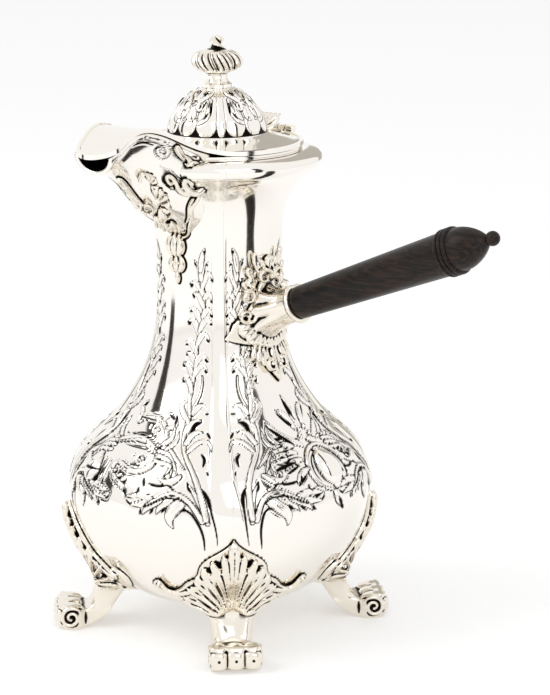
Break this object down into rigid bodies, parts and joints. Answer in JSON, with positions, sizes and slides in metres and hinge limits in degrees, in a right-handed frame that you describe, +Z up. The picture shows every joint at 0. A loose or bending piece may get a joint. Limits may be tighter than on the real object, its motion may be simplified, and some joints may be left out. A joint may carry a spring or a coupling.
{
  "type": "chocolate pot",
  "caption": "Pear-shaped silver chocolate pot with scroll feet, a beak spout, a hinged domed lid that covers the spout, and a straight ebony side handle.",
  "frame": {"origin": "on the pot's axis at table level, in the plane of the four feet", "axes": "+Z up along the pot's axis, the spout points along -Y, the side handle along +X and the lid hinge is on the +Y side"},
  "size_m": [0.2129, 0.1487, 0.2615],
  "materials": {
    "polished_silver": "polished",
    "cast_silver": "chased and oxidised",
    "drawn_silver": "polished",
    "ebony": "waxed"
  },
  "bodies": {
    "pot": {"body_bowl": "polished_silver", "body_shoulder": "polished_silver", "body_neck": "polished_silver", "body_collar": "polished_silver", "mouth_wire": "polished_silver", "spout_shell": "polished_silver", "spout_lip": "polished_silver", "spout_border_left": "cast_silver", "spout_border_right": "cast_silver", "spout_rosette_left": "cast_silver", "spout_rosette_right": "cast_silver", "spout_pendant": "cast_silver", "handle_socket": "cast_silver", "handle_grip": "ebony", "handle_rivet": "drawn_silver", "hinge_body": "polished_silver", "hinge_pin": "drawn_silver", "foot_front_right": "cast_silver", "foot_back_right": "cast_silver", "foot_back_left": "cast_silver", "foot_front_left": "cast_silver"},
    "lid": {"hinge_lid": "polished_silver", "thumb_leaf": "cast_silver", "lid_shell": "polished_silver", "lid_wire": "polished_silver", "lid_bezel": "polished_silver", "finial_base": "polished_silver", "finial_bud": "cast_silver", "finial_nut": "drawn_silver"}
  },
  "joints": [
    {"name": "lid_hinge", "type": "hinge", "parent": "pot", "child": "lid", "pos_m": [0, 0.0404, 0.217], "axis": [-1, 0, 0], "range_deg": [0, 95]}
  ]
}
